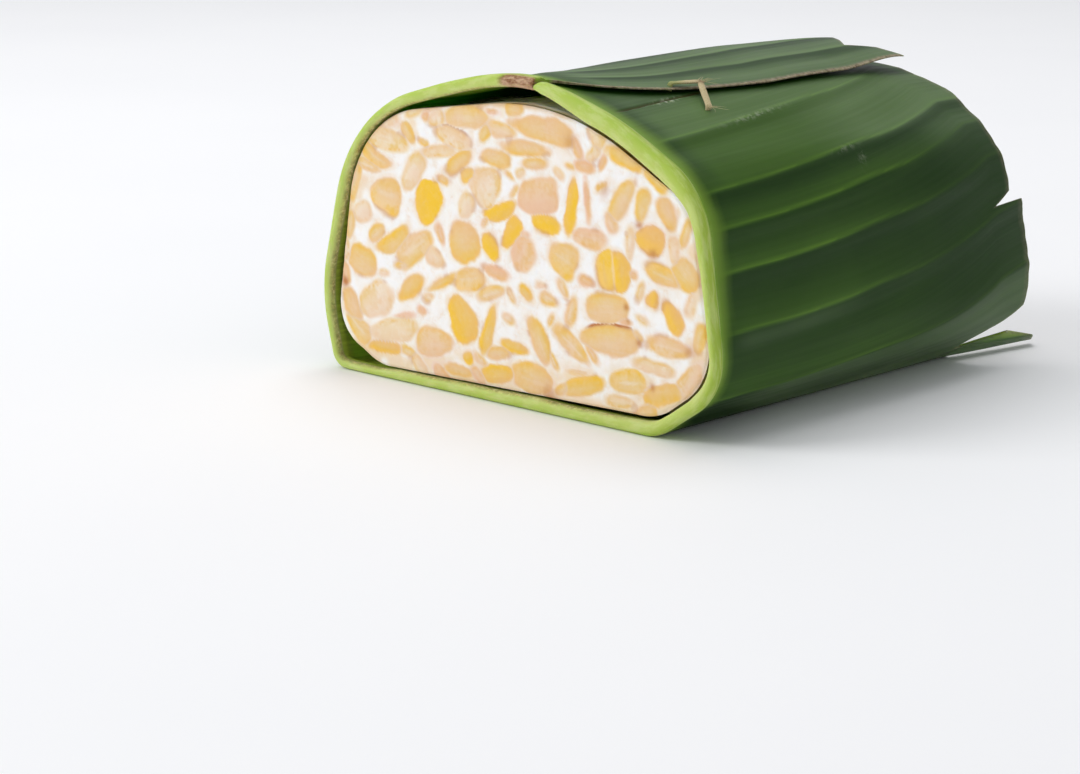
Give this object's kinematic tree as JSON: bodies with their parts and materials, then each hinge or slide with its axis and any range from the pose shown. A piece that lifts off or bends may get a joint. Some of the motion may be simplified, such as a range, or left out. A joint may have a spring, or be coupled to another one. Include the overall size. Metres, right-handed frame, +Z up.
{
  "type": "leaf wrapped tempeh cake",
  "caption": "Half cake of tempeh with a flat cut face full of soybeans, wrapped round by a banana leaf whose midrib edges the face, its flap held down by a bent bamboo splint pin.",
  "frame": {"origin": "middle of the underside, at the centre of the bounding box's bottom", "axes": "+Z up, +Y from the cut face along the cake to its wrapped back end, +X to the right as the cut face is looked at"},
  "size_m": [0.1094, 0.124, 0.0682],
  "materials": {
    "banana_leaf": "satin dark green blade with fine parallel veins and a pale yellow-green midrib",
    "tempeh": "matt white mould threads with pale yellow and tan cut soybeans",
    "bamboo": "dry split bamboo, fibrous at the bend"
  },
  "bodies": {
    "root": {"leaf_wrap": "banana_leaf", "tempeh_block": "tempeh", "splint_pin": "bamboo"}
  },
  "joints": []
}
